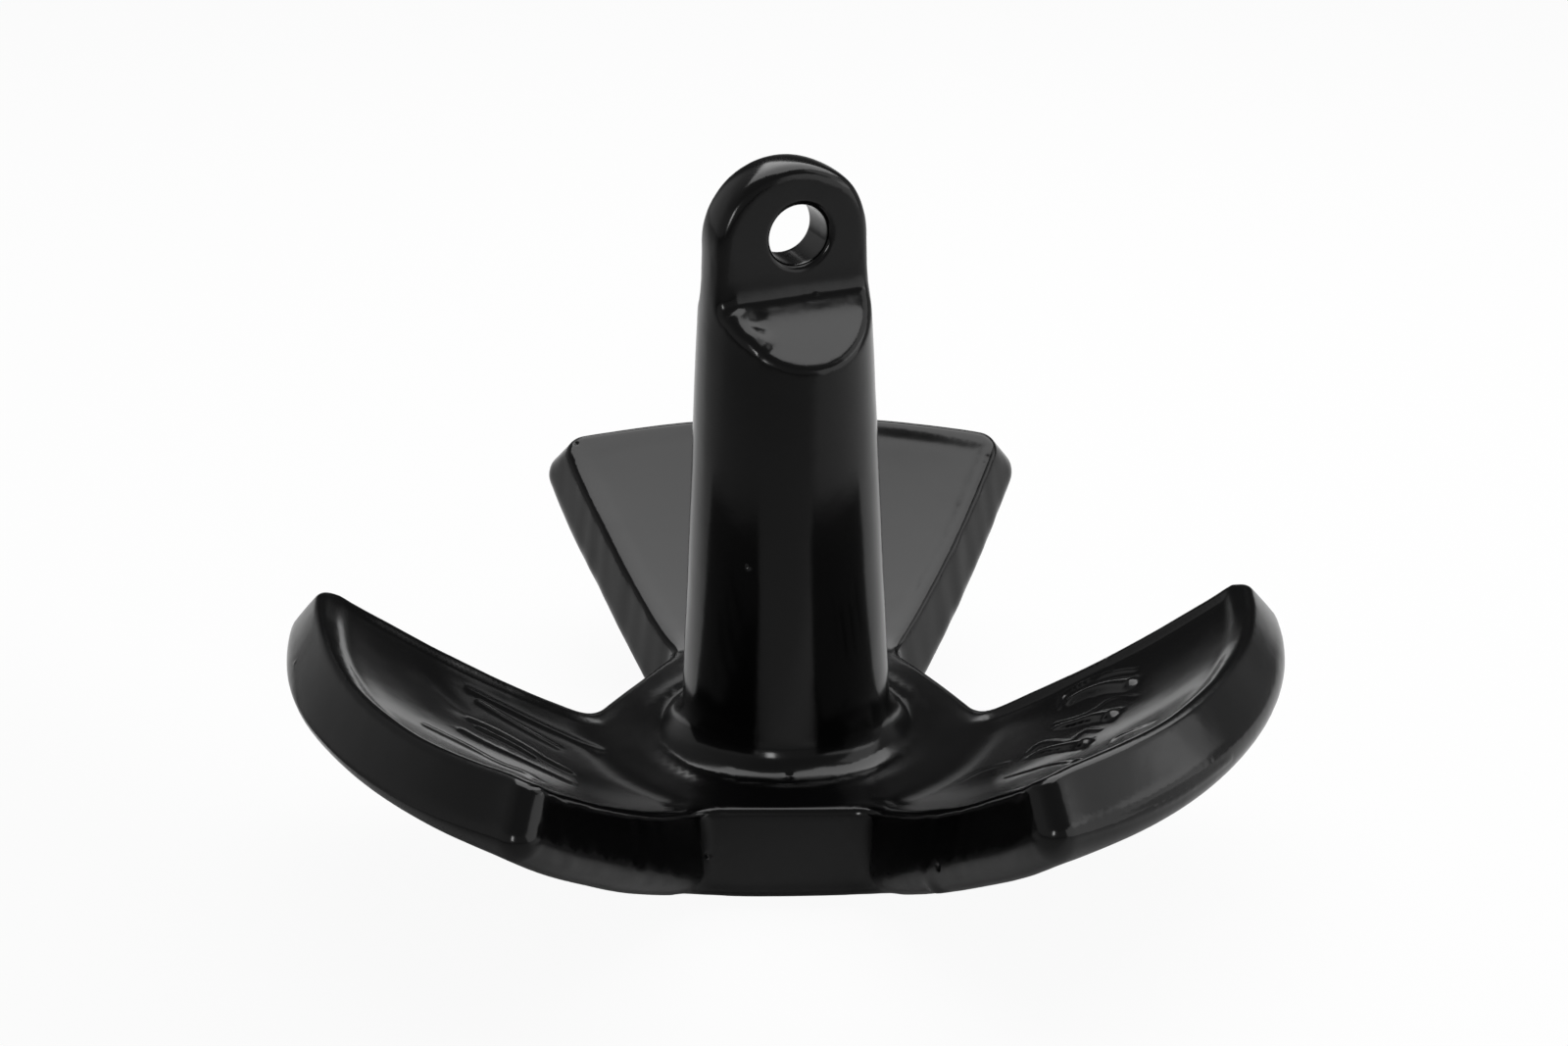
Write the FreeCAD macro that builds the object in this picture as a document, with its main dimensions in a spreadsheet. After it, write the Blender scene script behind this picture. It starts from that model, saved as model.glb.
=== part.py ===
import FreeCAD, Part
import math
import os
import Sketcher
from FreeCAD import Placement, Rotation, Vector

# River anchor: one iron casting under a thick vinyl coat. A three-fluke dish carries a tapered
# round shank, whose domed end has two flats and a bored eye.
# Millimetres, +Z up the shank, origin on the shank's axis at the foot.
sizes = {
    # Dish
    "rim_radius": 140.0,
    "rim_height": 80.0,
    "rim_thickness": 22.2,
    "hub_radius": 56.0,
    "hub_thickness": 31.9,
    "knuckle_radius": 30.0,
    "blade_radius": 273.0,
    "foot_radius": 50.0,
    "foot_bend_radius": 30.0,
    "underside_radius": 400.0,
    # Notches between the flukes, measured at the foot
    "fluke_count": 3,
    "notch_distance": 60.3,
    "notch_width": 45.0,
    "notch_spread": 50.6,
    "notch_draft": 8.6,
    "notch_corner_radius": 4.0,
    "tip_corner_radius": 8.5,
    "upper_edge_radius": 2.5,
    "lower_edge_radius": 7.5,
    # Shank
    "overall_height": 215.7,
    "shank_radius": 32.95,
    "shank_taper": 2.95,
    "root_radius": 10.0,
    # Eye, measured down from the top
    "eye_turn": 23.0,
    "eye_thickness": 16.5,
    "eye_hole_radius": 9.0,
    "eye_hole_depth": 21.7,
    "eye_hole_shift": 1.6,
    "ledge_depth": 40.5,
    "ledge_slope": 41.0,
    "ledge_fold_radius": 4.5,
    "eye_edge_radius": 4.0,
    "bore_edge_radius": 2.2,
}
# Cutting profiles reach past the casting by this factor
overshoot = 1.1
# Faces whose normals agree by more than this meet smoothly
smooth_meeting = 0.97

doc = FreeCAD.newDocument("RiverAnchor")
sheet = doc.addObject("Spreadsheet::Sheet", "Sizes")
for row, (alias, value) in enumerate(sizes.items(), start=1):
    sheet.set(f"A{row}", alias)
    sheet.set(f"B{row}", str(value))
    sheet.setAlias(f"B{row}", alias)
doc.recompute()

body = doc.addObject("PartDesign::Body", "Anchor")
body.Label = "river_anchor"
origin = {feature.Role: feature for feature in body.Origin.OriginFeatures}
sketch_origin = (-1, 1)
upright = -2
start, end, centre = 1, 2, 3


def size(name):
    return float(sheet.get(name))


def new_sketch(name, plane, turn=None):
    """A sketch on an origin plane, turned about the shank where turn names a size."""
    sketch = body.newObject("Sketcher::SketchObject", name)
    sketch.AttachmentSupport = [(origin[plane], "")]
    sketch.MapMode = "FlatFace"
    if turn:
        sketch.AttachmentOffset = Placement(Vector(), Rotation(Vector(0, 1, 0), size(turn)))
        sketch.setExpression(".AttachmentOffset.Rotation.Angle", f"Sizes.{turn} * 1deg")
    return sketch


def line(sketch, first, second):
    return sketch.addGeometry(Part.LineSegment(Vector(*first), Vector(*second)), False)


def arc(sketch, middle, radius, first_angle, last_angle):
    circle = Part.Circle(Vector(*middle), Vector(0, 0, 1), radius)
    return sketch.addGeometry(Part.ArcOfCircle(circle, first_angle, last_angle), False)


def relate(sketch, kind, *places):
    sketch.addConstraint(Sketcher.Constraint(kind, *places))


def dimension(sketch, kind, name, expression, *places):
    """A driving dimension, bound to the sheet."""
    index = sketch.addConstraint(Sketcher.Constraint(kind, *places))
    sketch.renameConstraint(index, name)
    sketch.setExpression(f"Constraints.{name}", expression)


def from_foot(sketch, name, expression, item, point, height):
    """Binds how high a point is above the foot."""
    dimension(sketch, "DistanceY", name, expression, *sketch_origin, item, point, height)


def from_axis(sketch, name, expression, item, point, distance, side=1):
    """Binds how far a point is from the upright axis, on side 1 or -1."""
    near, far = [sketch_origin, (item, point)][::side]
    dimension(sketch, "DistanceX", name, expression, *near, *far, distance)


def revolve(name, sketch):
    turned = body.newObject("PartDesign::Revolution", name)
    turned.Profile = sketch
    turned.ReferenceAxis = (sketch, ["V_Axis"])
    turned.Angle = 360
    doc.recompute()
    return turned


def cut_through(name, sketch):
    """A pocket through the whole body, both ways from its sketch, which must remove material."""
    before = body.Shape.Volume
    pocket = body.newObject("PartDesign::Pocket", name)
    pocket.Profile = sketch
    pocket.SideType = "Symmetric"
    pocket.Type = "ThroughAll"
    doc.recompute()
    if not pocket.Shape.Volume < before:
        raise RuntimeError(f"{name} cuts nothing")
    return pocket


def middle_of(edge):
    return edge.valueAt((edge.FirstParameter + edge.LastParameter) / 2)


def away_from_axis(point):
    return math.hypot(point.x, point.y)


def is_sharp(shape, edge):
    """Whether the two faces at edge meet at a clear angle."""
    faces = shape.ancestorsOfType(edge, Part.Face)
    if len(faces) != 2:
        return False
    point = middle_of(edge)
    first, second = (face.normalAt(*face.Surface.parameter(point)) for face in faces)
    return first.dot(second) < smooth_meeting


def fillet(name, base, radius, picked):
    """Rounds those sharp edges of base that picked accepts."""
    shape = base.Shape
    names = [
        f"Edge{i}"
        for i, edge in enumerate(shape.Edges, start=1)
        if picked(edge) and is_sharp(shape, edge)
    ]
    rounding = body.newObject("PartDesign::Fillet", name)
    rounding.Base = (base, names)
    rounding.setExpression("Radius", f"Sizes.{radius}")
    doc.recompute()
    return rounding


def sagging_arc(bend_centre, bend, last, radius):
    """Centre of the large arc that runs out of a bend and ends at last, both sagging."""
    apart = math.dist(bend_centre, last)
    along = (apart**2 + (radius - bend) ** 2 - radius**2) / (2 * apart)
    across = math.sqrt((radius - bend) ** 2 - along**2)
    way = ((last[0] - bend_centre[0]) / apart, (last[1] - bend_centre[1]) / apart)
    return (
        bend_centre[0] + along * way[0] - across * way[1],
        bend_centre[1] + along * way[1] + across * way[0],
    )


def blade_centre():
    """Where the blade's arc is struck from, as distance from the axis and height."""
    knuckle = size("knuckle_radius")
    knuckle_centre = (size("hub_radius"), size("hub_thickness") + knuckle)
    rim = (size("rim_radius"), size("rim_height"))
    return sagging_arc(knuckle_centre, knuckle, rim, size("blade_radius"))


def angle_from(middle, point):
    return math.atan2(point[1] - middle[1], point[0] - middle[0])


def bent_curve(sketch, flat_end, bend, last, radius, middle):
    """A small bend that leaves the flat, and the large arc from it to last."""
    bend_centre = (flat_end[0], flat_end[1] + bend)
    leave = angle_from(middle, bend_centre)
    small = arc(sketch, bend_centre, bend, -math.pi / 2, leave)
    large = arc(sketch, middle, radius, leave, angle_from(middle, last))
    relate(sketch, "Tangent", small, end, large, start)
    return small, large


def make_dish():
    """Hub and blade in one turned profile, with its rim square to the blade."""
    hub = (size("hub_radius"), size("hub_thickness"))
    rim = (size("rim_radius"), size("rim_height"))
    foot = (size("foot_radius"), 0)
    bend = size("foot_bend_radius")
    knuckle = size("knuckle_radius")
    thick = size("rim_thickness")
    blade = size("blade_radius")
    blade_middle = blade_centre()
    outwards = (blade + thick) / blade
    low_rim = tuple(c + outwards * (p - c) for c, p in zip(blade_middle, rim))
    under = size("underside_radius")
    under_middle = sagging_arc((foot[0], bend), bend, low_rim, under)

    sketch = new_sketch("DishProfile", "YZ_Plane")
    foot_line = line(sketch, (0, 0), foot)
    foot_bend, under_arc = bent_curve(sketch, foot, bend, low_rim, under, under_middle)
    rim_line = line(sketch, low_rim, rim)
    knuckle_arc, blade_arc = bent_curve(sketch, hub, knuckle, rim, blade, blade_middle)
    hub_line = line(sketch, hub, (0, hub[1]))
    axis_line = line(sketch, (0, hub[1]), (0, 0))
    relate(sketch, "Coincident", foot_line, start, *sketch_origin)
    relate(sketch, "Horizontal", foot_line)
    relate(sketch, "Tangent", foot_line, end, foot_bend, start)
    relate(sketch, "Coincident", under_arc, end, rim_line, start)
    relate(sketch, "Coincident", rim_line, end, blade_arc, end)
    relate(sketch, "PointOnObject", blade_arc, centre, rim_line)
    relate(sketch, "Tangent", knuckle_arc, start, hub_line, start)
    relate(sketch, "Horizontal", hub_line)
    relate(sketch, "Coincident", hub_line, end, axis_line, start)
    relate(sketch, "Coincident", axis_line, end, *sketch_origin)
    relate(sketch, "Vertical", axis_line)
    from_axis(sketch, "foot", "Sizes.foot_radius", foot_line, end, foot[0])
    from_axis(sketch, "rim", "Sizes.rim_radius", rim_line, end, rim[0])
    from_foot(sketch, "rise", "Sizes.rim_height", rim_line, end, rim[1])
    from_axis(sketch, "hub", "Sizes.hub_radius", hub_line, start, hub[0])
    from_foot(sketch, "deep", "Sizes.hub_thickness", hub_line, start, hub[1])
    dimension(sketch, "Distance", "thickness", "Sizes.rim_thickness", rim_line, thick)
    dimension(sketch, "Radius", "bend", "Sizes.foot_bend_radius", foot_bend, bend)
    dimension(sketch, "Radius", "under", "Sizes.underside_radius", under_arc, under)
    dimension(sketch, "Radius", "knuckle", "Sizes.knuckle_radius", knuckle_arc, knuckle)
    dimension(sketch, "Radius", "blade", "Sizes.blade_radius", blade_arc, blade)
    return revolve("Dish", sketch)


def make_shank():
    """A tapered round bar, ended by a dome that meets the taper smoothly."""
    bottom = size("hub_thickness")
    top = size("overall_height")
    radius = size("shank_radius")
    taper = math.radians(size("shank_taper"))
    dome = (radius * math.cos(taper) - (top - bottom) * math.sin(taper)) / (1 - math.sin(taper))
    meet = (dome * math.cos(taper), top - dome + dome * math.sin(taper))

    sketch = new_sketch("ShankProfile", "XZ_Plane", "eye_turn")
    base_line = line(sketch, (0, bottom), (radius, bottom))
    side_line = line(sketch, (radius, bottom), meet)
    dome_arc = arc(sketch, (0, top - dome), dome, taper, math.pi / 2)
    axis_line = line(sketch, (0, top), (0, bottom))
    relate(sketch, "Horizontal", base_line)
    relate(sketch, "PointOnObject", base_line, start, upright)
    relate(sketch, "Coincident", base_line, end, side_line, start)
    relate(sketch, "Tangent", side_line, end, dome_arc, start)
    relate(sketch, "PointOnObject", dome_arc, centre, upright)
    relate(sketch, "PointOnObject", dome_arc, end, upright)
    relate(sketch, "Coincident", dome_arc, end, axis_line, start)
    relate(sketch, "Coincident", axis_line, end, base_line, start)
    from_foot(sketch, "bottom", "Sizes.hub_thickness", base_line, start, bottom)
    from_axis(sketch, "radius", "Sizes.shank_radius", base_line, end, radius)
    from_foot(sketch, "top", "Sizes.overall_height", axis_line, start, top)
    taper_ends = (axis_line, end, side_line, start)
    dimension(sketch, "Angle", "taper", "Sizes.shank_taper * 1deg", *taper_ends, taper)
    return revolve("Shank", sketch)


def flat_side(sketch, side, word):
    """The profile that cuts one flat and its sloping ledge."""
    half = size("eye_thickness") / 2
    outer = half + size("shank_radius")
    fold = size("overall_height") - size("ledge_depth")
    slope = math.radians(size("ledge_slope"))
    rounding = size("ledge_fold_radius")
    setback = rounding / math.tan(math.pi / 4 + slope / 2)
    low = fold - size("shank_radius") * math.tan(slope)
    top = size("overall_height") * overshoot
    fold_end = (side * (half + setback * math.cos(slope)), fold - setback * math.sin(slope))
    turns = (math.pi, 1.5 * math.pi - slope) if side > 0 else (1.5 * math.pi + slope, 2 * math.pi)
    at_face, at_ledge = (start, end)[::side]
    face_line = line(sketch, (side * half, top), (side * half, fold + setback))
    fold_arc = arc(sketch, (side * (half + rounding), fold + setback), rounding, *turns)
    ledge_line = line(sketch, fold_end, (side * outer, low))
    outer_line = line(sketch, (side * outer, low), (side * outer, top))
    top_line = line(sketch, (side * outer, top), (side * half, top))
    relate(sketch, "Vertical", face_line)
    relate(sketch, "Tangent", face_line, end, fold_arc, at_face)
    relate(sketch, "Tangent", fold_arc, at_ledge, ledge_line, start)
    relate(sketch, "Coincident", ledge_line, end, outer_line, start)
    relate(sketch, "Vertical", outer_line)
    relate(sketch, "Coincident", outer_line, end, top_line, start)
    relate(sketch, "Horizontal", top_line)
    relate(sketch, "Coincident", top_line, end, face_line, start)
    reach = "Sizes.eye_thickness / 2 + Sizes.shank_radius"
    from_axis(sketch, word + "_face", "Sizes.eye_thickness / 2", face_line, end, half, side)
    from_axis(sketch, word + "_reach", reach, outer_line, end, outer, side)
    fold_rule = "Sizes.overall_height - Sizes.ledge_depth"
    setback_rule = "Sizes.ledge_fold_radius / tan(45deg + Sizes.ledge_slope * 0.5deg)"
    fall_rule = "Sizes.shank_radius * tan(Sizes.ledge_slope * 1deg)"
    above = f"{fold_rule} + {setback_rule}"
    from_foot(sketch, word + "_fold", above, face_line, end, fold + setback)
    from_foot(sketch, word + "_low", f"{fold_rule} - {fall_rule}", ledge_line, end, low)
    from_foot(sketch, word + "_top", f"Sizes.overall_height * {overshoot}", top_line, end, top)
    dimension(sketch, "Radius", word + "_bend", "Sizes.ledge_fold_radius", fold_arc, rounding)


def make_eye():
    """Two flats on the shank's end, each down to a sloping ledge, and a bore through them."""
    turn = math.radians(size("eye_turn"))
    half = size("eye_thickness") / 2
    fold = size("overall_height") - size("ledge_depth")
    height = size("overall_height") - size("eye_hole_depth")
    radius = size("eye_hole_radius")
    shift = size("eye_hole_shift")

    def from_mid_plane(point):
        return abs(point.x * math.sin(turn) - point.y * math.cos(turn))

    def round_flat(edge):
        point = middle_of(edge)
        return point.z > fold - size("shank_radius") and from_mid_plane(point) > half - 0.01

    def in_bore(edge):
        point = middle_of(edge)
        across = point.x * math.cos(turn) + point.y * math.sin(turn) - shift
        return math.hypot(across, point.z - height) < radius + 0.01

    sketch = new_sketch("FlatsProfile", "YZ_Plane", "eye_turn")
    flat_side(sketch, 1, "front")
    flat_side(sketch, -1, "back")
    fillet("EyeEdges", cut_through("Flats", sketch), "eye_edge_radius", round_flat)

    sketch = new_sketch("BoreProfile", "XZ_Plane", "eye_turn")
    circle = Part.Circle(Vector(shift, height), Vector(0, 0, 1), radius)
    hole = sketch.addGeometry(circle, False)
    from_axis(sketch, "shift", "Sizes.eye_hole_shift", hole, centre, shift)
    hole_rule = "Sizes.overall_height - Sizes.eye_hole_depth"
    from_foot(sketch, "height", hole_rule, hole, centre, height)
    dimension(sketch, "Radius", "radius", "Sizes.eye_hole_radius", hole, radius)
    return fillet("BoreEdges", cut_through("Bore", sketch), "bore_edge_radius", in_bore)


def notch_profile():
    """A flat towards the hub, two walls that open outwards, and an arc clear of the rim."""
    flat = -size("notch_distance")
    half = size("notch_width") / 2
    lean = math.radians(size("notch_spread") / 2)
    corner = size("notch_corner_radius")
    reach = 1.4 * size("rim_radius")
    setback = corner * math.tan((math.pi / 2 - lean) / 2)
    wall = (half + setback * math.sin(lean), flat - setback * math.cos(lean))
    outer = half * math.cos(lean) + (flat + reach) * math.sin(lean)
    wall_end = (outer * math.cos(lean), outer * math.sin(lean) - reach)

    sketch = new_sketch("NotchProfile", "XY_Plane")
    flat_line = line(sketch, (setback - half, flat), (half - setback, flat))
    right_arc = arc(sketch, (half - setback, flat - corner), corner, lean, math.pi / 2)
    right_line = line(sketch, wall, wall_end)
    outer_arc = arc(sketch, (0, -reach), outer, math.pi - lean, 2 * math.pi + lean)
    left_line = line(sketch, (-wall_end[0], wall_end[1]), (-wall[0], wall[1]))
    left_arc = arc(sketch, (setback - half, flat - corner), corner, math.pi / 2, math.pi - lean)
    relate(sketch, "Symmetric", flat_line, start, flat_line, end, upright)
    relate(sketch, "Tangent", flat_line, end, right_arc, end)
    relate(sketch, "Tangent", right_arc, start, right_line, start)
    relate(sketch, "Tangent", right_line, end, outer_arc, end)
    relate(sketch, "PointOnObject", outer_arc, centre, upright)
    relate(sketch, "Tangent", outer_arc, start, left_line, start)
    relate(sketch, "Tangent", left_line, end, left_arc, end)
    relate(sketch, "Tangent", left_arc, start, flat_line, start)
    relate(sketch, "Equal", left_arc, right_arc)
    to_flat = (flat_line, start, *sketch_origin)
    to_outer = (outer_arc, centre, *sketch_origin)
    dimension(sketch, "DistanceY", "flat", "Sizes.notch_distance", *to_flat, -flat)
    dimension(sketch, "DistanceY", "reach", "Sizes.rim_radius * 1.4", *to_outer, reach)
    half_spread = (upright, end, right_line, start)
    dimension(sketch, "Angle", "spread", "Sizes.notch_spread * 0.5deg", *half_spread, lean)
    dimension(sketch, "Radius", "corner", "Sizes.notch_corner_radius", right_arc, corner)
    setback_rule = "Sizes.notch_corner_radius * tan(45deg - Sizes.notch_spread * 0.25deg)"
    straight = (flat_line, start, flat_line, end)
    narrowed = f"Sizes.notch_width - 2 * {setback_rule}"
    dimension(sketch, "DistanceX", "width", narrowed, *straight, 2 * (half - setback))
    return sketch


def round_root(joined):
    """The fillet where the shank stands on the hub."""
    root = (size("shank_radius"), size("hub_thickness"))

    def at_root(edge):
        points = (edge.valueAt(edge.FirstParameter), middle_of(edge))
        return all(math.dist((away_from_axis(p), p.z), root) < 0.01 for p in points)

    return fillet("Root", joined, "root_radius", at_root)


def make_notches():
    """The bays between the flukes, which widen upwards by the casting's draft."""
    before = body.Shape.Volume
    notch = body.newObject("PartDesign::Pocket", "Notch")
    notch.Profile = notch_profile()
    notch.Reversed = True
    notch.Type = "Length"
    notch.setExpression("Length", f"Sizes.rim_height * {overshoot}")
    notch.setExpression("TaperAngle", "Sizes.notch_draft")
    doc.recompute()
    one_bay = before - notch.Shape.Volume
    bays = body.newObject("PartDesign::PolarPattern", "Notches")
    bays.Originals = [notch]
    bays.Axis = (origin["Z_Axis"], [""])
    bays.setExpression("Occurrences", "Sizes.fluke_count")
    body.Tip = bays
    doc.recompute()
    if not before - bays.Shape.Volume > 1.5 * one_bay > 0:
        raise RuntimeError("Notches cut too little")
    return bays


def round_flukes(flukes):
    """Tip corners first, then the outlines of the dished top and of the underside."""
    middle = blade_centre()
    halfway = size("blade_radius") + size("rim_thickness") / 2

    def on_fluke(edge):
        return away_from_axis(middle_of(edge)) > size("shank_radius") + size("root_radius")

    def at_tip(edge):
        first, last = edge.Vertexes[0].Z, edge.Vertexes[-1].Z
        outside = away_from_axis(middle_of(edge)) > size("rim_radius")
        return outside and abs(first - last) > size("rim_thickness") / 3

    def below_middle(edge):
        point = middle_of(edge)
        return math.dist(middle, (away_from_axis(point), point.z)) > halfway

    def above(edge):
        return on_fluke(edge) and not below_middle(edge)

    def below(edge):
        return on_fluke(edge) and below_middle(edge)

    tips = fillet("TipCorners", flukes, "tip_corner_radius", at_tip)
    top = fillet("UpperEdge", tips, "upper_edge_radius", above)
    return fillet("LowerEdge", top, "lower_edge_radius", below)


def check_features():
    for feature in doc.Objects:
        if "Invalid" in feature.State or "Error" in feature.State or not feature.isValid():
            raise RuntimeError(f"{feature.Name} failed")
    shape = body.Shape
    if shape.isNull() or not shape.isValid() or len(shape.Solids) != 1:
        raise RuntimeError("The anchor isn't one valid solid")


make_shank()
make_eye()
round_root(make_dish())
round_flukes(make_notches())
check_features()
os.makedirs("parts", exist_ok=True)
body.Shape.exportStep("parts/river_anchor.step")
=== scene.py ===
import math

import bpy
import numpy as np
from mathutils import Matrix, Vector, noise
from mathutils.bvhtree import BVHTree


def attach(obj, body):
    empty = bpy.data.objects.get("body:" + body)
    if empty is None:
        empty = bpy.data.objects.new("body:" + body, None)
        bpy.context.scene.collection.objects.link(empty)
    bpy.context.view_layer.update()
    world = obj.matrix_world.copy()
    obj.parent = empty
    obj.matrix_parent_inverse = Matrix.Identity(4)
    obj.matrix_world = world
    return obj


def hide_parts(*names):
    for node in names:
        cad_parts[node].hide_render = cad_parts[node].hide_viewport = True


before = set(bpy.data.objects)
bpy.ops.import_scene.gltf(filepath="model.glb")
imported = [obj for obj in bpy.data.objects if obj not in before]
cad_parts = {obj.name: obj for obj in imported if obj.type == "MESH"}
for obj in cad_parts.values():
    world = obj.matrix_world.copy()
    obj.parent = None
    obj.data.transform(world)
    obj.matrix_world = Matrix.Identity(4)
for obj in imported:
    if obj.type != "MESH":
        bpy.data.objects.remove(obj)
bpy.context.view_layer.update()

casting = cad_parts["river_anchor"]
scene = bpy.context.scene
mm = 0.001

cameraSetup = {        # set by the anchor's outline in the photograph
    "target": (-0.0004, 0.0, 0.10036),
    "distance": 0.85714,
    "elevation": 23.836,
    "roll": -0.204,
    "lens": 64.493,
    "sensor": 36.0,
    "clip": (0.02, 40),
    "picture": (1600, 1067),
}


def addCamera(setup):
    tilt, roll = math.radians(setup["elevation"]), math.radians(setup["roll"])
    turn = Matrix.Rotation(math.pi / 2 - tilt, 3, "X") @ Matrix.Rotation(roll, 3, "Z")
    back = Vector((0, -math.cos(tilt), math.sin(tilt)))
    data = bpy.data.cameras.new("photo_camera")
    data.lens, data.sensor_width, data.sensor_fit = setup["lens"], setup["sensor"], "HORIZONTAL"
    data.clip_start, data.clip_end = setup["clip"]
    camera = bpy.data.objects.new("photo_camera", data)
    scene.collection.objects.link(camera)
    place = Vector(setup["target"]) + back * setup["distance"]
    camera.matrix_world = Matrix.Translation(place) @ turn.to_4x4()
    scene.camera = camera
    return camera


camera = addCamera(cameraSetup)
bpy.context.view_layer.update()
print("camera placed")


def sightLine(x, y):        # from the camera through a place in the picture
    width, height = cameraSetup["picture"]
    focal = cameraSetup["lens"] / cameraSetup["sensor"] * width
    ray = Vector(((x - width / 2) / focal, (height / 2 - y) / focal, -1))
    return camera.matrix_world.translation, (camera.matrix_world.to_3x3() @ ray).normalized()


def selectOnly(piece):
    if bpy.context.object and bpy.context.object.mode != "OBJECT":
        bpy.ops.object.mode_set(mode="OBJECT")
    bpy.ops.object.select_all(action="DESELECT")
    piece.select_set(True)
    bpy.context.view_layer.objects.active = piece


def finishModifier(piece, kind, **settings):
    selectOnly(piece)
    modifier = piece.modifiers.new(kind.title(), kind)
    for name, value in settings.items():
        setattr(modifier, name, value)
    bpy.ops.object.modifier_apply(modifier=modifier.name)


def readAll(items, name, kind=np.float32, size=1):        # one value, or a row of them, for each item
    values = np.empty(len(items) * size, kind)
    items.foreach_get(name, values)
    return values.reshape(-1, size) if size > 1 else values


def readPoints(piece):
    return readAll(piece.data.vertices, "co", size=3).astype(float)


def writePoints(piece, points):
    piece.data.vertices.foreach_set("co", points.astype(np.float32).ravel())
    piece.data.update()


def readNormals(piece):
    return readAll(piece.data.vertex_normals, "vector", size=3).astype(float)


def treeOf(piece):
    mesh = piece.data
    return BVHTree.FromPolygons([v.co for v in mesh.vertices], [p.vertices for p in mesh.polygons])


def step(value, low, high):        # 0 below low, 1 above high, smooth between
    t = np.clip((value - low) / (high - low), 0, 1)
    return t * t * (3 - 2 * t)


def hump(value, middle, width):        # 1 in the middle, about a third a width away, then fading out
    return np.exp(-((value - middle) / width) ** 2)


castingTree = treeOf(casting)
castingCorners = readPoints(casting)[np.array([tuple(p.vertices) for p in casting.data.polygons])]
castingNormals = readAll(casting.data.corner_normals, "vector", size=3).reshape(-1, 3, 3).astype(float)
rounding = 0.5        # how far a flat triangle is bent towards the planes at its corners
leastArea = 1e-18        # keeps a thin triangle's shares finite


def settle(points):        # moves points onto the rounded surface that the flat triangles stand for
    hits = [castingTree.find_nearest(Vector(p)) for p in points]
    near = np.array([hit[0] for hit in hits])
    face = np.array([hit[2] for hit in hits])
    corners, normals = castingCorners[face], castingNormals[face]
    a, b, c = corners[:, 1] - corners[:, 0], corners[:, 2] - corners[:, 0], near - corners[:, 0]
    aa, ab, bb = (a * a).sum(1), (a * b).sum(1), (b * b).sum(1)
    ca, cb = (c * a).sum(1), (c * b).sum(1)
    area = np.maximum(aa * bb - ab * ab, leastArea)
    u, v = (bb * ca - ab * cb) / area, (aa * cb - ab * ca) / area
    share = np.clip(np.stack([1 - u - v, u, v], 1), 0, 1)[:, :, None]
    rise = ((corners - near[:, None]) * normals).sum(2, keepdims=True) * normals
    return near + rounding * (share * rise).sum(1)


skinSetup = {
    "mergeWithin": 0.001 * mm,
    "voxel": 2.4 * mm,
    "relaxFactor": 0.5,
    "relaxRounds": 4,
    "relaxSteps": 3,
    "edgeTurns": (17.0, 24.0),        # degrees over one face, above which it is divided
    "edgeRounds": 2,
    "edgeSteps": 1,
}


def relax(skin, rounds, steps):        # evens out the faces and lays them back on the casting
    for _ in range(rounds):
        finishModifier(skin, "SMOOTH", factor=skinSetup["relaxFactor"], iterations=steps)
        writePoints(skin, settle(readPoints(skin)))


def startSkin(setup):
    skin = bpy.data.objects.new("vinyl_skin", casting.data.copy())
    scene.collection.objects.link(skin)
    selectOnly(skin)
    bpy.ops.object.mode_set(mode="EDIT")
    bpy.ops.mesh.select_all(action="SELECT")
    bpy.ops.mesh.remove_doubles(threshold=setup["mergeWithin"])
    bpy.ops.object.mode_set(mode="OBJECT")
    finishModifier(skin, "REMESH", mode="VOXEL", voxel_size=setup["voxel"], use_smooth_shade=True)
    relax(skin, setup["relaxRounds"], setup["relaxSteps"])
    return skin


def divideFaces(skin, chosen):
    selectOnly(skin)
    bpy.ops.object.mode_set(mode="EDIT")
    bpy.context.tool_settings.mesh_select_mode = (False, False, True)
    bpy.ops.object.mode_set(mode="OBJECT")
    skin.data.vertices.foreach_set("select", np.zeros(len(skin.data.vertices), bool))
    skin.data.edges.foreach_set("select", np.zeros(len(skin.data.edges), bool))
    skin.data.polygons.foreach_set("select", chosen)
    bpy.ops.object.mode_set(mode="EDIT")
    bpy.ops.mesh.subdivide(number_cuts=1)
    bpy.ops.object.mode_set(mode="OBJECT")


def faceTurn(skin):        # how far each face's corners turn away from the face
    mesh = skin.data
    count = readAll(mesh.polygons, "loop_total", int)
    cornerNormals = readNormals(skin)[readAll(mesh.loops, "vertex_index", int)]
    faceNormals = readAll(mesh.polygons, "normal", size=3)
    owner = np.repeat(np.arange(len(count)), count)
    agree = (cornerNormals * faceNormals[owner]).sum(1)
    least = np.ones(len(count))
    np.minimum.at(least, owner, agree)
    return np.degrees(np.arccos(np.clip(least, -1, 1)))


def triangleCount(piece):
    return sum(len(p.vertices) - 2 for p in piece.data.polygons)


skin = startSkin(skinSetup)
print("skin started,", triangleCount(skin), "triangles")
for limit in skinSetup["edgeTurns"]:
    divideFaces(skin, faceTurn(skin) > limit / 2)
    relax(skin, skinSetup["edgeRounds"], skinSetup["edgeSteps"])
print("edges divided,", triangleCount(skin), "triangles")


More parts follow.
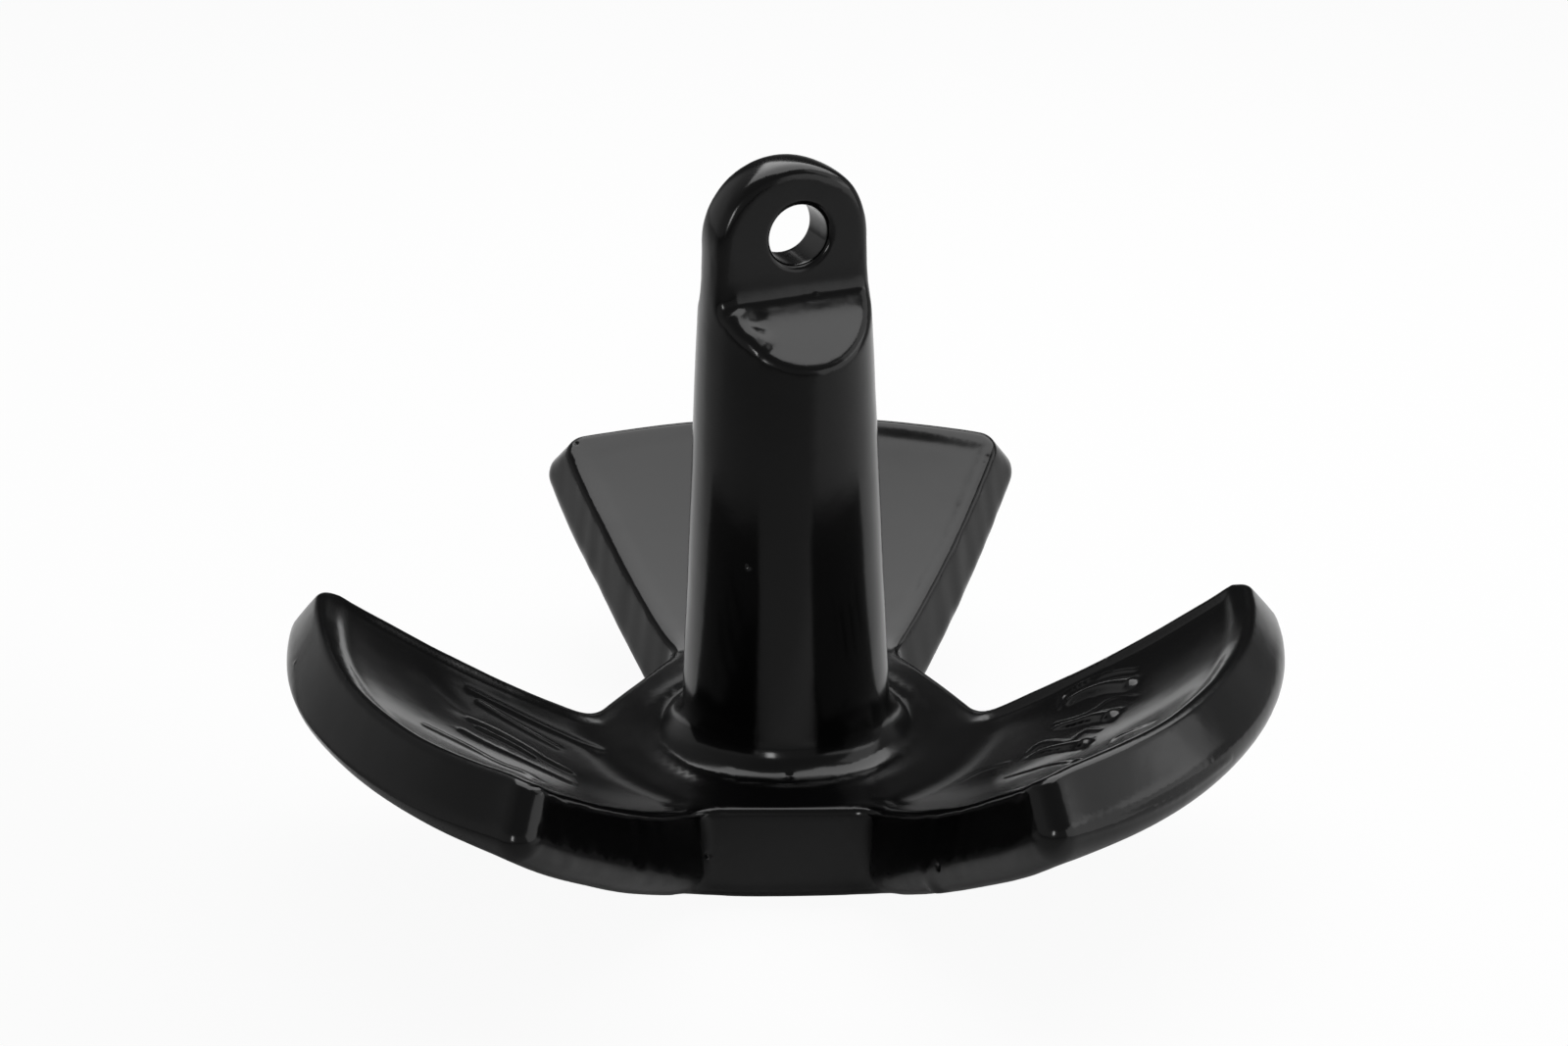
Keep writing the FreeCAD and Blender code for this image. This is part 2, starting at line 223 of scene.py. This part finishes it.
# The real casting's flukes aren't alike. From here shapes are in millimetres, and headings in degrees
# from the X axis. A pair is where a change begins and where it is whole.
flukeShape = {        # how far the top and the underside of each side fluke rise about a heading
    "left": {"heading": 214, "reach": 20, "from": (92, 134), "top": -2.1, "bottom": 2.0},
    "right": {"heading": 312, "reach": 16, "from": (92, 134), "top": 0.6, "bottom": -1.2},
}
flukeSides = (-0.25, 0.55)        # how far a face looks up, on the underside and on top
pushes = {        # along a heading, outwards and up; "low" is the share of "out" lower down
    "leftTip": {"heading": 177, "reach": 10, "from": (96, 136), "out": 2.7, "up": -0.6, "low": 0.5},
    "leftRim": {"heading": 192, "reach": 16, "from": (96, 136), "out": 1.1, "up": 0.2},
    "rightTip": {"heading": 3, "reach": 10, "from": (96, 136), "out": 1.0, "up": -0.2, "low": 0.0},
    "rightRim": {"heading": 352, "reach": 18, "from": (96, 136), "out": 1.3, "up": 0.0},
    "rightBack": {"heading": 10, "reach": 22, "from": (52, 90), "out": 0.0, "up": 1.1},
    "backLeftTip": {"heading": 122, "reach": 6, "from": (110, 138), "out": 2.2, "up": -0.4, "low": 1.7},
    "backRightTip": {"heading": 60, "reach": 10, "from": (110, 138), "out": 1.0, "up": 0.9},
    "backRight": {"heading": 78, "reach": 9, "from": (110, 138), "out": 0.0, "up": 0.7},
    "leftFrontTip": {"heading": 242, "reach": 3.5, "from": (112, 138), "out": 2.2, "up": 0.0, "low": 0.6},
    "rightFrontTip": {"heading": 298, "reach": 3.5, "from": (112, 138), "out": 2.2, "up": 0.0, "low": 0.6},
    "leftEdge": {"heading": 170, "reach": 16, "from": (70, 100), "out": 0.0, "up": -0.9},
    "rightEdge": {"heading": 12, "reach": 16, "from": (70, 100), "out": 0.0, "up": -0.5},
    "leftBay": {"heading": 150, "reach": 26, "from": (42, 56), "until": (66, 90), "out": 0.7, "up": 0.0},
    "rightBay": {"heading": 28, "reach": 26, "from": (42, 56), "until": (66, 90), "out": 1.2, "up": 0.4},
}
pushHeights = {"out": (62, 78), "up": (2, 20)}        # above the foot, which stays where it is
backFluke = {
    "heading": 90, "reach": 50, "from": (50, 75),
    "wider": 1.0, "widerFrom": (12, 40),
    "sway": 0.84, "swayRadius": 120,
}
frontFoot = {"rise": 0.8, "reach": 50, "front": (44, 56), "height": (3, 12), "within": 75}
shankRegion = {"within": 40, "above": 120}
shoulder = {"height": 183, "reach": 11, "bulge": -0.4}
crown = {"height": 209, "reach": 7, "side": (5, 22), "right": 1.0}


def turnFrom(angle, middle):        # difference of two headings, -180 to 180
    return (angle - middle + 180) % 360 - 180


def shapeFlukes(skin):
    p, n = readPoints(skin) / mm, readNormals(skin)
    away = np.hypot(p[:, 0], p[:, 1])
    heading = np.degrees(np.arctan2(p[:, 1], p[:, 0])) % 360
    upward = step(n[:, 2], *flukeSides)
    for fluke in flukeShape.values():
        share = hump(turnFrom(heading, fluke["heading"]), 0, fluke["reach"]) * step(away, *fluke["from"])
        p[:, 2] += share * (upward * fluke["top"] + (1 - upward) * fluke["bottom"])
    way = p[:, :2] / np.maximum(away, 1)[:, None]
    for push in pushes.values():
        share = hump(turnFrom(heading, push["heading"]), 0, push["reach"]) * step(away, *push["from"])
        if "until" in push:
            share *= 1 - step(away, *push["until"])
        low = push.get("low", 1.0)
        high = step(p[:, 2], *pushHeights["out"])
        p[:, :2] += (share * push["out"] * (low + (1 - low) * high))[:, None] * way
        p[:, 2] += share * push["up"] * step(p[:, 2], *pushHeights["up"])
    back = np.abs(turnFrom(heading, backFluke["heading"])) < backFluke["reach"]
    back = back * step(away, *backFluke["from"])
    side = np.sign(p[:, 0]) * step(np.abs(p[:, 0]), *backFluke["widerFrom"])
    p[:, 0] += back * (side * backFluke["wider"] - backFluke["sway"] * away / backFluke["swayRadius"])
    foot = step(-p[:, 1], *frontFoot["front"]) * hump(p[:, 0], 0, frontFoot["reach"])
    foot = foot * (1 - step(p[:, 2], *frontFoot["height"])) * (away < frontFoot["within"])
    p[:, 2] += frontFoot["rise"] * foot
    onShank = (away < shankRegion["within"]) * (p[:, 2] > shankRegion["above"])
    bulge = onShank * hump(p[:, 2], shoulder["height"], shoulder["reach"]) * shoulder["bulge"]
    p[:, :2] += bulge[:, None] * n[:, :2]
    atCrown = onShank * hump(p[:, 2], crown["height"], crown["reach"])
    p[:, 0] += atCrown * step(p[:, 0], *crown["side"]) * crown["right"]
    writePoints(skin, p * mm)


shapeFlukes(skin)
print("flukes shaped")


# What the dipped vinyl does on the casting. Places and runs of places are in the picture,
# and are laid onto the skin along the camera's sight lines.
rightDrips = {
    "runs": {        # each with its half width at both ends and its height
        "top": {
            "places": [(1087, 719), (1104, 708), (1128, 700), (1152, 698)],
            "width": (2.4, 4.1), "height": 1.75,
        },
        "middle": {
            "places": [(1074, 743), (1098, 738), (1116, 732), (1133, 730)],
            "width": (1.8, 3.9), "height": 1.75,
        },
        "lower": {
            "places": [(1049, 773), (1070, 765), (1088, 762), (1106, 759)],
            "width": (1.8, 3.7), "height": 1.7,
        },
        "lowest": {
            "places": [(1024, 794), (1048, 787), (1074, 779), (1098, 776)],
            "width": (1.2, 2.0), "height": 0.6,
        },
    },
    "runStart": (-0.05, 0.3), "thinShare": 0.45,
    "ridges": {
        "topOutline": [(1081, 725), (1082, 711), (1099, 699), (1123, 690), (1144, 684), (1162, 683)],
        "second": [(1074, 739), (1099, 733), (1118, 724), (1132, 713), (1146, 710), (1160, 712)],
        "third": [
            (1048, 769), (1060, 758), (1076, 756), (1092, 758), (1101, 749), (1111, 744), (1124, 745),
        ],
        "hook": [(1130, 766), (1133, 756), (1147, 748), (1178, 737)],
        "farWave": [(976, 799), (1002, 785), (1030, 778)],
    },
    "ridgeWidth": 0.95, "ridgeHeight": 0.34,
}
leftWrinkles = {
    "ridges": {
        "upper": [(476, 732), (507, 746), (534, 761), (563, 779), (587, 790)],
        "upperTwin": [(485, 741), (503, 750), (525, 761), (548, 775)],
        "lower": [(467, 743), (496, 759), (529, 774), (563, 790), (587, 801)],
    },
    "ridgeWidth": 1.5, "ridgeHeight": 0.6,
    "faintRidges": {
        "seam": [(429, 738), (454, 750), (481, 763), (509, 779), (536, 788), (549, 797)],
        "far": [(474, 701), (518, 723), (574, 750), (618, 768)],
        "farTwin": [(485, 714), (529, 741), (574, 766)],
    },
    "faintWidth": 2.25, "faintHeight": 0.3,
    "dents": {"blotchTop": (436, 690), "blotch": (452, 708), "blotchEnd": (470, 724)},
    "dentWidth": 5.0, "dentDepth": 0.3,
}
edgeBead = {        # along the outline of the flukes' tops, with a shallow groove inside it
    "place": 3.0, "width": 2.1, "height": 0.55,
    "groovePlace": 7.2, "grooveWidth": 1.7, "groove": 0.14,
    "facing": (0.35, 0.6), "from": (52, 60), "above": 28,
    "patchLength": 22, "evenShare": 0.75, "patchShare": 0.8,
    "back": (30, 50), "backShare": 0.3,
    "zoneReach": 9.0, "zoneFrom": 50, "zoneSpan": 1.4,
}
bay = {        # the outline of the three bays and the rim, as the casting has them
    "heading": 270, "apart": 120, "halfWidth": 22.5, "flat": 60.3, "lean": 25.3, "draft": 8.6,
    "rim": 140, "rimShare": 1.25,
}
rootRing = {"radius": 43.2, "width": 1.9, "height": 0.5, "facing": (0.5, 0.8), "below": 40}
rimSeam = {
    "places": [(1258, 772), (1222, 800), (1190, 820), (1140, 841), (1092, 855)],
    "width": 1.0, "height": 0.3,
}
ledgeDent = {
    "dimple": (776, 331), "width": 3.0, "depth": 0.8,
    "lip": (771, 341), "lipWidth": 3.0, "lipHeight": 0.5,
    "sag": [(748, 320), (759, 334), (770, 346), (783, 357)], "sagWidth": 4.2, "sagHeight": 0.45,
    "fold": [(744, 315), (780, 310), (815, 306), (850, 301), (886, 296)],
    "foldWidth": 4.0, "foldHeight": 0.65,
}
pinholes = {
    "shank": (764, 578), "root": (805, 791), "frontFlat": (723, 872), "rightWall": (957, 885),
    "cornerNick": (588, 452),
}
pinholeSize = {"width": 0.75, "depth": 0.7}
specks = {"fold": (832, 301), "leftRim": (301, 676), "rightFluke": (1131, 673), "backFluke": (909, 612)}
speckSize = {"width": 0.6, "height": 0.3}
footDrip = {"place": (954, 906), "width": 2.6, "height": 1.3}        # hangs on the lower edge
waviness = {        # the coat is nowhere quite even, except under the foot
    "length": 26.0, "height": 0.13,
    "fineLength": 7.0, "fineHeight": 0.035, "fineShift": (7, 3, 5),
    "offFoot": (0.3, 2.5),
}
streaks = {        # they run down the bays' walls
    "length": 6.0, "height": 0.22, "facing": (0.3, 0.5), "from": (60, 70), "within": 4,
}
ridgeEnds = ((-0.02, 0.12), (0.86, 1.02))        # where a ridge rises and sinks, as shares of its length
detailZone = {"reach": 4.0, "fineReach": 2.2, "fineSpan": 0.8}
pathReach = 12        # beyond this a path does nothing
farAway = 1e9
cornerCuts = 3


def roundedRun(places):        # cuts the corners of a run of places
    run = np.array(places, float)
    for _ in range(cornerCuts):
        a, b = run[:-1], run[1:]
        between = np.stack([0.75 * a + 0.25 * b, 0.25 * a + 0.75 * b], 1).reshape(-1, run.shape[1])
        run = np.vstack([run[:1], between, run[-1:]])
    return run


def onSkin(tree, places):        # where sight lines meet the skin
    hits = []
    for x, y in places:
        start, ray = sightLine(x, y)
        hit = tree.ray_cast(start, ray)[0]
        if hit is not None:
            hits.append(hit / mm)
    return np.array(hits)


def distanceTo(path, p):        # from each point to a path, and how far along it that is
    nearest, along = np.full(len(p), farAway), np.zeros(len(p))
    inside = ((p > path.min(0) - pathReach) & (p < path.max(0) + pathReach)).all(1)
    q = p[inside]
    best, where = np.full(len(q), farAway), np.zeros(len(q))
    for i in range(max(len(path) - 1, 1)):
        a, b = path[i], path[min(i + 1, len(path) - 1)]
        way = b - a
        t = np.clip(((q - a) @ way) / max(way @ way, 1e-9), 0, 1)
        d = np.linalg.norm(q - a - t[:, None] * way, axis=1)
        closer = d < best
        best[closer], where[closer] = d[closer], (i + t[closer]) / max(len(path) - 1, 1)
    nearest[inside], along[inside] = best, where
    return nearest, along


def ridge(tree, places, p, width, height):        # a soft ridge that fades at both ends
    distance, along = distanceTo(onSkin(tree, roundedRun(places)), p)
    rises, sinks = ridgeEnds
    return hump(distance, 0, width) * step(along, *rises) * (1 - step(along, *sinks)) * height


def drip(tree, places, p, widths, height):        # a run of vinyl, steep at its sides and round at its end
    distance, along = distanceTo(onSkin(tree, roundedRun(places)), p)
    width = widths[0] + (widths[1] - widths[0]) * along
    thin = rightDrips["thinShare"]
    body = np.clip(1 - (distance / width) ** 2, 0, 1) * step(along, *rightDrips["runStart"])
    return body * (thin + (1 - thin) * along) * height


def spot(place, p, width):
    return hump(np.linalg.norm(p - place, axis=1), 0, width)


def cloud(p, length, shift=(0, 0, 0)):        # smooth noise of that length
    return np.array([noise.noise(Vector(q) / length + Vector(shift)) for q in p])


def detailZones(tree, p):        # how near each point is to any fine detail
    zones = np.full(len(p), farAway)
    runs = [run["places"] for run in rightDrips["runs"].values()]
    wrinkles = [*leftWrinkles["ridges"].values(), *leftWrinkles["faintRidges"].values()]
    for places in [*runs, *rightDrips["ridges"].values(), *wrinkles, rimSeam["places"]]:
        zones = np.minimum(zones, distanceTo(onSkin(tree, roundedRun(places)), p)[0])
    for place in onSkin(tree, [*pinholes.values(), *specks.values()]):
        zones = np.minimum(zones, np.linalg.norm(p - place, axis=1))
    return zones


def edgeDistance(p):        # inwards from the outline of the flukes' tops, in plan, and from a bay's wall
    away = np.hypot(p[:, 0], p[:, 1])
    heading = np.degrees(np.arctan2(p[:, 1], p[:, 0]))
    half = bay["apart"] / 2
    turn = np.radians(np.abs((heading - bay["heading"] + half) % bay["apart"] - half))
    out, across = away * np.cos(turn), away * np.sin(turn)
    lean, draft = np.radians(bay["lean"]), math.tan(math.radians(bay["draft"]))
    wall = (across - bay["halfWidth"]) * np.cos(lean) - (out - bay["flat"]) * np.sin(lean) - p[:, 2] * draft
    flat = bay["flat"] - out - p[:, 2] * draft
    rim = (bay["rim"] - away) * bay["rimShare"]
    return np.minimum(np.maximum(wall, flat), rim), wall


def coat(skin):
    tree = treeOf(skin)
    p, n = readPoints(skin) / mm, readNormals(skin)
    lift = np.zeros(len(p))
    for piece, paths, size in (
        (rightDrips, "ridges", ("ridgeWidth", "ridgeHeight")),
        (leftWrinkles, "ridges", ("ridgeWidth", "ridgeHeight")),
        (leftWrinkles, "faintRidges", ("faintWidth", "faintHeight")),
    ):
        for places in piece[paths].values():
            lift = np.maximum(lift, ridge(tree, places, p, *[piece[name] for name in size]))
    for run in rightDrips["runs"].values():
        lift = np.maximum(lift, drip(tree, run["places"], p, run["width"], run["height"]))
    for place in onSkin(tree, leftWrinkles["dents"].values()):
        lift -= spot(place, p, leftWrinkles["dentWidth"]) * leftWrinkles["dentDepth"]

    away = np.hypot(p[:, 0], p[:, 1])
    edge, wall = edgeDistance(p)
    onTop = step(n[:, 2], *edgeBead["facing"]) * step(away, *edgeBead["from"])
    onTop = onTop * (p[:, 2] > edgeBead["above"])
    bead = hump(edge, edgeBead["place"], edgeBead["width"]) * edgeBead["height"]
    bead -= hump(edge, edgeBead["groovePlace"], edgeBead["grooveWidth"]) * edgeBead["groove"]
    patchy = edgeBead["evenShare"] + edgeBead["patchShare"] * cloud(p, edgeBead["patchLength"])
    atBack = step(p[:, 1], *edgeBead["back"])
    lift += bead * onTop * patchy * (1 - (1 - edgeBead["backShare"]) * atBack)
    ring = hump(away, rootRing["radius"], rootRing["width"])
    ring = ring * step(n[:, 2], *rootRing["facing"]) * (p[:, 2] < rootRing["below"])
    lift += ring * rootRing["height"]

    lift += ridge(tree, rimSeam["places"], p, rimSeam["width"], rimSeam["height"])
    lift += ridge(tree, ledgeDent["sag"], p, ledgeDent["sagWidth"], ledgeDent["sagHeight"])
    lift += ridge(tree, ledgeDent["fold"], p, ledgeDent["foldWidth"], ledgeDent["foldHeight"])
    dimple, lip = onSkin(tree, [ledgeDent["dimple"], ledgeDent["lip"]])
    lift -= spot(dimple, p, ledgeDent["width"]) * ledgeDent["depth"]
    lift += spot(lip, p, ledgeDent["lipWidth"]) * ledgeDent["lipHeight"]
    for place in onSkin(tree, pinholes.values()):
        lift -= spot(place, p, pinholeSize["width"]) * pinholeSize["depth"]
    for place in onSkin(tree, specks.values()):
        lift += spot(place, p, speckSize["width"]) * speckSize["height"]
    lift += spot(onSkin(tree, [footDrip["place"]])[0], p, footDrip["width"]) * footDrip["height"]

    broad, fine = cloud(p, waviness["length"]), cloud(p, waviness["fineLength"], waviness["fineShift"])
    offFoot = step(p[:, 2], *waviness["offFoot"])
    lift += offFoot * (broad * waviness["height"] + fine * waviness["fineHeight"])
    onWall = (1 - step(np.abs(n[:, 2]), *streaks["facing"])) * step(away, *streaks["from"])
    onWall = onWall * (wall < streaks["within"])
    lift += onWall * cloud(p * (1, 1, 0), streaks["length"]) * streaks["height"]
    writePoints(skin, (p + n * lift[:, None]) * mm)


def faceCentres(skin):
    return readAll(skin.data.polygons, "center", size=3) / mm


def faceSpan(skin):        # square roots of the faces' areas
    return np.sqrt(readAll(skin.data.polygons, "area")) / mm


def beadZone(skin):        # faces of the flukes' tops beside their outline
    centres = faceCentres(skin)
    facing = readAll(skin.data.polygons, "normal", size=3)[:, 2] > edgeBead["facing"][0]
    near = np.abs(edgeDistance(centres)[0]) < edgeBead["zoneReach"]
    far = np.hypot(centres[:, 0], centres[:, 1]) > edgeBead["zoneFrom"]
    return near & facing & far & (centres[:, 2] > edgeBead["above"])


zoneTree = treeOf(skin)
divideFaces(skin, beadZone(skin) & (faceSpan(skin) > edgeBead["zoneSpan"]))
print("outline divided,", triangleCount(skin), "triangles")
divideFaces(skin, detailZones(zoneTree, faceCentres(skin)) < detailZone["reach"])
inDetail = detailZones(zoneTree, faceCentres(skin)) < detailZone["fineReach"]
divideFaces(skin, inDetail & (faceSpan(skin) > detailZone["fineSpan"]))
print("detail zones divided,", triangleCount(skin), "triangles")
coat(skin)
skin.data.shade_smooth()
print("vinyl sculpted")


class Wire:        # a socket that takes sums and products as Python writes them
    def __init__(self, board, socket):
        self.board, self.socket = board, socket

    def join(self, how, other, swap=False):
        ends = [other, self] if swap else [self, other]
        return self.board.add("ShaderNodeMath", {"operation": how}, {0: ends[0], 1: ends[1]})

    def __add__(self, other): return self.join("ADD", other)
    def __radd__(self, other): return self.join("ADD", other, True)
    def __sub__(self, other): return self.join("SUBTRACT", other)
    def __rsub__(self, other): return self.join("SUBTRACT", other, True)
    def __mul__(self, other): return self.join("MULTIPLY", other)
    def __rmul__(self, other): return self.join("MULTIPLY", other, True)


class Board:        # one node tree
    def __init__(self, tree):
        self.tree = tree
        tree.nodes.clear()

    def add(self, kind, settings=None, sockets=None, out=0):
        node = self.tree.nodes.new(kind)
        for name, value in (settings or {}).items():
            setattr(node, name, value)
        for name, value in (sockets or {}).items():
            if isinstance(value, Wire):
                self.tree.links.new(value.socket, node.inputs[name])
            else:
                node.inputs[name].default_value = value
        self.last = node
        return Wire(self, node.outputs[out]) if node.outputs else None

    def parts(self, vector):        # its three numbers
        self.add("ShaderNodeSeparateXYZ", {}, {0: vector})
        return [Wire(self, end) for end in self.last.outputs]


def fade(board, value, low, high, first, last):        # a smooth change from one level to another
    smooth = {"interpolation_type": "SMOOTHSTEP"}
    return board.add("ShaderNodeMapRange", smooth, {0: value, 1: low, 2: high, 3: first, 4: last})


vinyl = {
    "colour": (0.0011, 0.0011, 0.0012),
    "specular": 0.29,
    "roughness": 0.16, "roughnessSpread": 0.06,
    "dull": (30.0, 4.0),        # scale and detail of the duller and shinier places
    "peel": (160.0, 2.0),        # and of the surface's fine unevenness
    "peelHeight": 0.03 * mm,
}


def makeVinyl(look):
    material = bpy.data.materials.new("black_vinyl")
    material.use_nodes = True
    board = Board(material.node_tree)
    place = board.add("ShaderNodeTexCoord", out="Object")
    peel, dull = [
        board.add("ShaderNodeTexNoise", {}, {"Vector": place, "Scale": scale, "Detail": detail})
        for scale, detail in (look["peel"], look["dull"])
    ]
    relief = {"Strength": 1.0, "Distance": look["peelHeight"], "Height": peel}
    bump = board.add("ShaderNodeBump", {}, relief)
    shader = board.add("ShaderNodeBsdfPrincipled", {}, {
        "Base Color": (*look["colour"], 1),
        "Roughness": look["roughness"] + (dull - 0.5) * look["roughnessSpread"],
        "Specular IOR Level": look["specular"],
        "Normal": bump,
    })
    board.add("ShaderNodeOutputMaterial", {}, {"Surface": shader})
    return material


skin.data.materials.clear()
skin.data.materials.append(makeVinyl(vinyl))
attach(skin, "root")
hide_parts("river_anchor")
print("vinyl on the skin")

floorSetup = {        # in metres from the anchor; along two slanted ways over it the paper has painted shade in front and, behind, a painted glow seen only in reflections
    "size": 14.0, "under": 0.2 * mm, "colour": 0.6, "cameraShare": 0.94,
    # painted light: the floor glows behind the anchor, seen only in reflections
    "glowEast": 0.3, "glowFrom": 0.02, "glowTo": 0.2, "glossyShare": (0.02, 0.16),
    "glowEnd": (1.5, 6.0), "glowLeft": 0.1,
    # painted shade: the paper's colour is darker in front of the anchor
    "frontEast": -0.9, "frontFrom": 0.08, "frontTo": 0.22, "frontPaintedShade": 0.4,
}
lampSetup = {
    "overhead": {"size": (1.2, 1.15), "place": (0.13, 0.3, 0.98), "radiance": 3.6},
    "highRight": {"size": (0.8, 0.9), "place": (1.15, 0.0, 0.85), "radiance": 1.2},
    "front": {"size": (0.26, 0.5), "place": (-0.47, -1.66, 0.6), "radiance": 13.0, "glints": True},
    "right": {"size": (1.55, 0.8), "place": (1.3, -0.47, 0.36), "radiance": 1.25},
}
lampAim = (0, 0, 0.08)
roomSetup = {        # the room's brightness in each direction, by how far that points east, north or up
    "level": 0.34, "leftLevel": 0.5, "leftFrom": -0.8, "leftTo": -0.25,
    "upperShare": 0.75, "upperFrom": 0.36, "upperTo": 0.56,
    "darkWay": (0.12, 0.993), "darkFrom": 0.69, "darkTo": 0.84, "lowTop": 0.46, "highTop": 0.6,
    "darkLevel": 0.05, "horizon": 0.17, "horizonTop": 0.16,
}
white = (1, 1, 1, 1)


def addFloor(setup):
    bpy.ops.object.select_all(action="DESELECT")
    bpy.ops.mesh.primitive_plane_add(size=setup["size"], location=(0, 0, -setup["under"]))
    floor = bpy.context.object
    floor.name = "pale_floor"
    material = bpy.data.materials.new("pale_floor")
    material.use_nodes = True
    board = Board(material.node_tree)
    east, north, _ = board.parts(board.add("ShaderNodeTexCoord", out="Object"))
    front = setup["frontEast"] * east - north
    paintedShade = fade(board, front, setup["frontFrom"], setup["frontTo"], 0.0, setup["frontPaintedShade"])
    paperWithPaintedShade = setup["colour"] * (1 - paintedShade)        # painted shade: the paper's colour darkens in front, standing in for the lamps' fall-off
    # painted light: behind the anchor the floor glows white, seen only in reflections
    behind = north - setup["glowEast"] * east
    glow = fade(board, behind, setup["glowFrom"], setup["glowTo"], *setup["glossyShare"])
    glow = glow * fade(board, behind, *setup["glowEnd"], 1.0, setup["glowLeft"])
    colour = board.add("ShaderNodeCombineXYZ", {}, {0: paperWithPaintedShade, 1: paperWithPaintedShade, 2: paperWithPaintedShade})
    camera = board.add("ShaderNodeLightPath", out="Is Camera Ray")
    paths = board.last.outputs
    glossy, clear = Wire(board, paths["Is Glossy Ray"]), Wire(board, paths["Is Transmission Ray"])
    share = camera * setup["cameraShare"] + (glossy + clear) * glow
    matt = board.add("ShaderNodeBsdfDiffuse", {}, {"Color": colour})
    bright = board.add("ShaderNodeEmission", {}, {"Color": white, "Strength": 1.0})
    mixed = board.add("ShaderNodeMixShader", {}, {0: share, 1: matt, 2: bright})
    board.add("ShaderNodeOutputMaterial", {}, {"Surface": mixed})
    floor.data.materials.append(material)


def addLamp(name, setup):
    data = bpy.data.lights.new(name, "AREA")
    data.shape = "RECTANGLE"
    data.size, data.size_y = setup["size"]
    data.energy = setup["radiance"] * math.pi * data.size * data.size_y
    lamp = bpy.data.objects.new(name, data)
    scene.collection.objects.link(lamp)
    lamp.visible_diffuse = not setup.get("glints", False)        # the front lamp only makes glints
    lamp.location = setup["place"]
    lamp.rotation_euler = (Vector(lampAim) - lamp.location).to_track_quat("-Z", "Y").to_euler()


def addRoom(setup):
    room = bpy.data.worlds.new("studio")
    room.use_nodes = True
    board = Board(room.node_tree)
    east, north, up = board.parts(board.add("ShaderNodeTexCoord", out="Generated"))
    toDark = east * setup["darkWay"][0] + north * setup["darkWay"][1]
    behind = fade(board, toDark, setup["darkFrom"], setup["darkTo"], 0.0, 1.0)
    low = fade(board, up, setup["lowTop"], setup["highTop"], 1.0, 0.0)
    sides = fade(board, east, setup["leftFrom"], setup["leftTo"], setup["leftLevel"], setup["level"])
    sides = sides * fade(board, up, setup["upperFrom"], setup["upperTo"], 1.0, setup["upperShare"])
    dark = fade(board, up, 0.0, setup["horizonTop"], setup["horizon"], setup["darkLevel"])
    strength = sides - behind * low * (sides - dark)        # the room is dark behind the anchor
    sky = board.add("ShaderNodeBackground", {}, {"Color": white, "Strength": strength})
    board.add("ShaderNodeOutputWorld", {}, {"Surface": sky})
    scene.world = room


addFloor(floorSetup)
for name, setup in lampSetup.items():
    addLamp(name, setup)
addRoom(roomSetup)
scene.view_settings.view_transform = "Standard"
print("studio lit")

bpy.context.view_layer.update()
